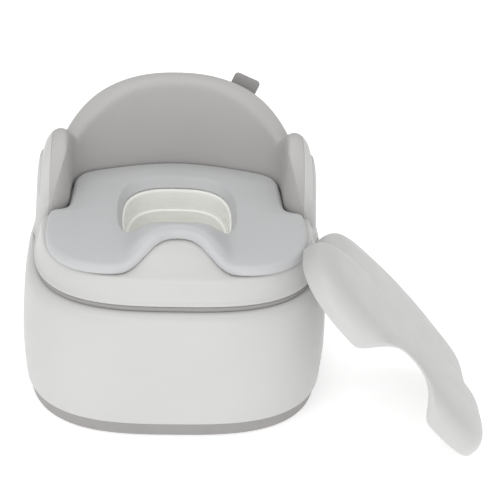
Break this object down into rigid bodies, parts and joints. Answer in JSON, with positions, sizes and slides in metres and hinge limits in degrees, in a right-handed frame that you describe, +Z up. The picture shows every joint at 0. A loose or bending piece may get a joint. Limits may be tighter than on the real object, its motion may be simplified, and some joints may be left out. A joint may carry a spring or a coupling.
{
  "type": "potty training chair",
  "caption": "Toddler potty chair with padded back and arms, removable padded seat ring, lift-out pot and a loose domed lid leaning on its side.",
  "frame": {"origin": "centre of the flat underside of the bottom cover", "axes": "+Z up, -Y the front where the splash guard is, +X the right side seen from the front, where the lid leans"},
  "size_m": [0.5577, 0.4073, 0.3374],
  "materials": {
    "white_shell": "fine moulded satin",
    "pot_shell": "smooth satin gloss",
    "grey_trim": "moulded satin",
    "grey_pad": "smooth foamed skin",
    "seat_pad": "smooth foamed skin",
    "rubber_foot": "matt",
    "screw_steel": "zinc plated"
  },
  "bodies": {
    "chair": {"bottom_cover": "grey_trim", "lower_shell": "white_shell", "seam_ring": "grey_trim", "upper_shell": "white_shell", "wall_pad": "grey_pad", "rear_tab": "grey_trim", "foot_1": "rubber_foot", "cover_screw_1": "screw_steel", "shell_screw_1": "screw_steel", "foot_2": "rubber_foot", "cover_screw_2": "screw_steel", "shell_screw_2": "screw_steel", "foot_3": "rubber_foot", "cover_screw_3": "screw_steel", "shell_screw_3": "screw_steel", "foot_4": "rubber_foot", "cover_screw_4": "screw_steel", "shell_screw_4": "screw_steel", "tab_screw": "screw_steel"},
    "seat": {"seat_plate": "pot_shell", "seat_cushion": "seat_pad", "seat_bumper_1": "rubber_foot", "seat_bumper_2": "rubber_foot", "seat_bumper_3": "rubber_foot", "seat_bumper_4": "rubber_foot"},
    "pot": {"pot": "pot_shell"},
    "lid": {"lid": "white_shell"}
  },
  "joints": [
    {"name": "seat_lift", "type": "slide", "parent": "chair", "child": "seat", "axis": [0, 0, 1], "range_m": [0, 0.3]},
    {"name": "pot_lift", "type": "slide", "parent": "chair", "child": "pot", "axis": [0, 0, 1], "range_m": [0, 0.15]},
    {"name": "lid_lift", "type": "slide", "parent": "chair", "child": "lid", "axis": [0.7217, 0.0421, 0.6909], "range_m": [0, 0.2]}
  ],
  "couplings": [
    {"joint": "pot_lift", "follows": "seat_lift", "ratio": 0.5}
  ]
}
